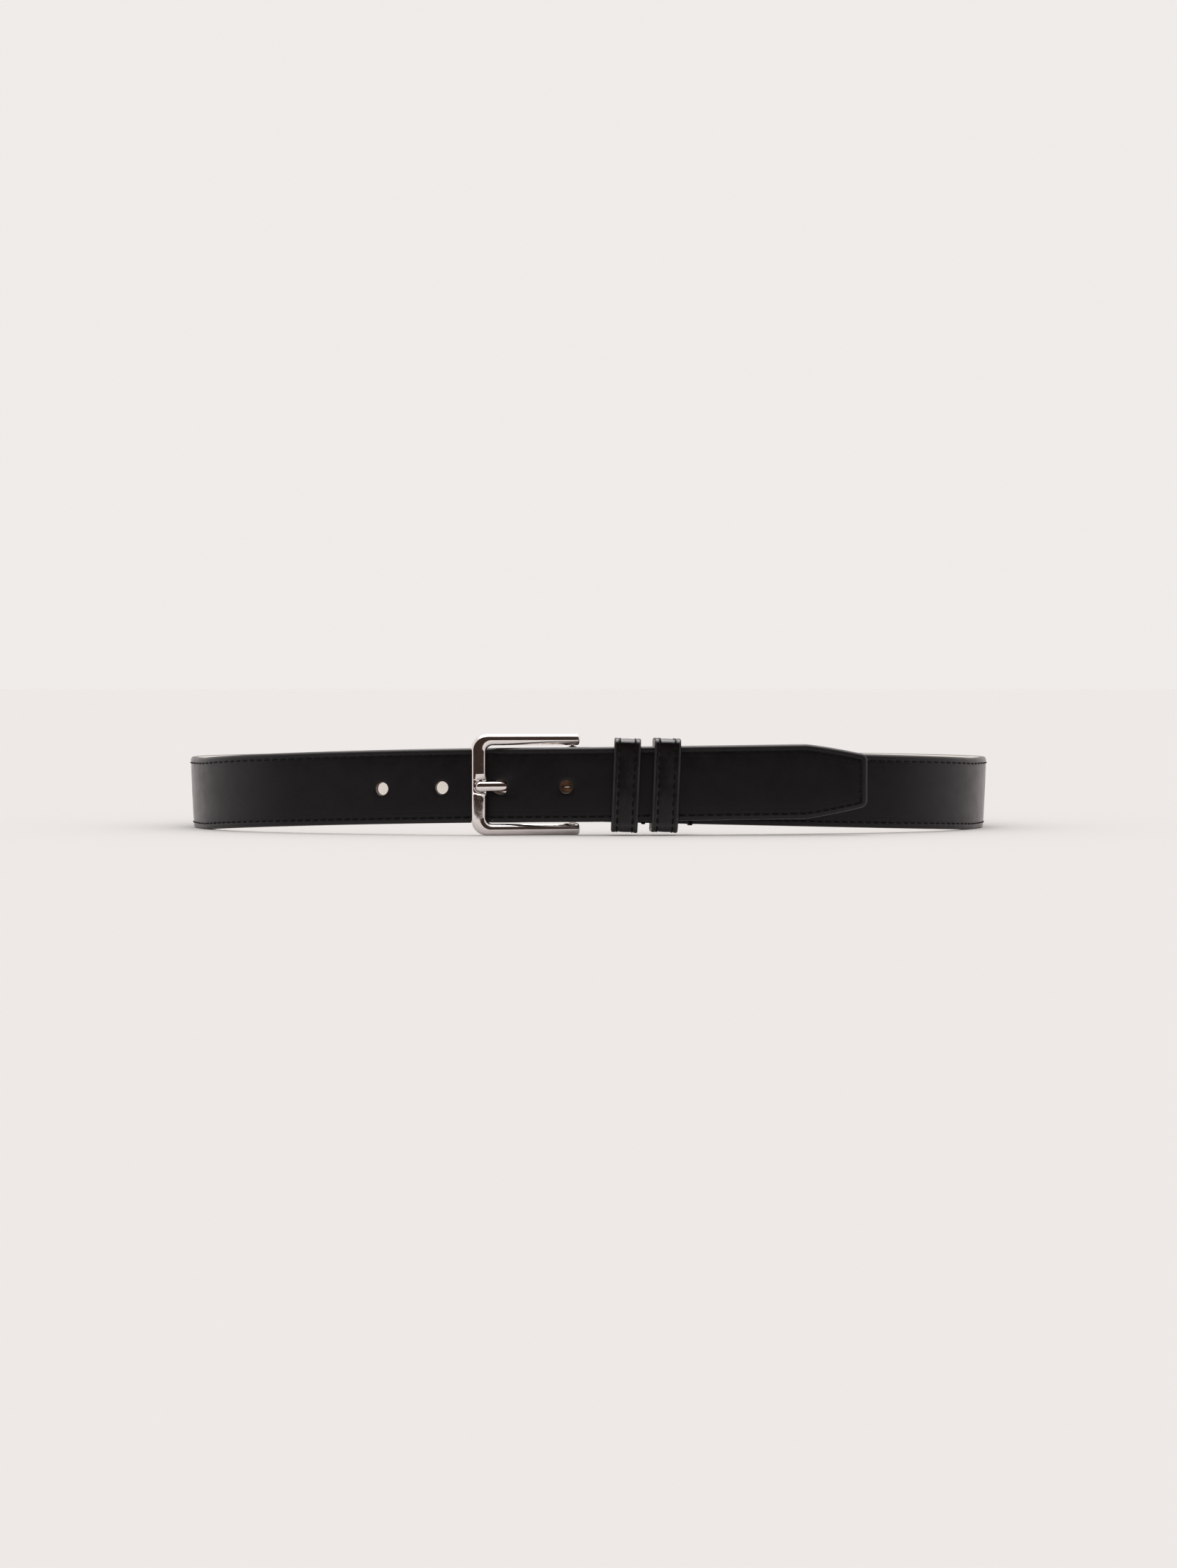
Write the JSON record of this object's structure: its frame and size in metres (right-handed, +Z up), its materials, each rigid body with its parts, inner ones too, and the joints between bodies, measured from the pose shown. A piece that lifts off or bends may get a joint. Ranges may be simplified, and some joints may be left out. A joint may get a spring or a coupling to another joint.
{
  "type": "leather belt",
  "caption": "Black leather dress belt, buckled into a loop, with a frame buckle, prong, two keepers and a punched tip.",
  "frame": {"origin": "on the floor, under the middle of the loop's bounding box", "axes": "+X runs along the front of the belt from the buckle to the tip, -Y is the front where the buckle is, +Z is up with the belt standing on its edge"},
  "size_m": [0.3408, 0.2424, 0.041],
  "materials": {
    "black_leather": "smooth fine-grained, satin, painted edges",
    "lining_leather": "pale undyed lining leather, matt",
    "filler_board": "bonded leather board, matt",
    "nickel": "polished nickel",
    "thread": "waxed black thread"
  },
  "bodies": {
    "strap": {"strap_face": "black_leather", "strap_filler": "filler_board", "strap_lining": "lining_leather", "cross_stitch_1": "thread", "cross_stitch_2": "thread", "cross_stitch_3": "thread"},
    "buckle": {"buckle_frame": "nickel", "heel_bar": "nickel"},
    "prong": {"prong": "nickel"},
    "keeper_1": {"keeper_1_face": "black_leather", "keeper_1_lining": "lining_leather"},
    "keeper_2": {"keeper_2_face": "black_leather", "keeper_2_lining": "lining_leather"}
  },
  "joints": [
    {"name": "buckle_swing", "type": "hinge", "parent": "strap", "child": "buckle", "pos_m": [-0.0065, -0.11048, 0.0205], "axis": [0, 0, 1], "range_deg": [-1.2, 1.2]},
    {"name": "prong_lift", "type": "hinge", "parent": "buckle", "child": "prong", "pos_m": [-0.0065, -0.11048, 0.0205], "axis": [0, 0, 1], "range_deg": [0, 1.2]},
    {"name": "keeper_1_slide", "type": "slide", "parent": "strap", "child": "keeper_1", "axis": [0.9992, 0.0045, -0.0401], "range_m": [-0.005, 0.0011]},
    {"name": "keeper_2_slide", "type": "slide", "parent": "strap", "child": "keeper_2", "axis": [0.9968, 0.0685, -0.0401], "range_m": [-0.0018, 0.0043]}
  ]
}
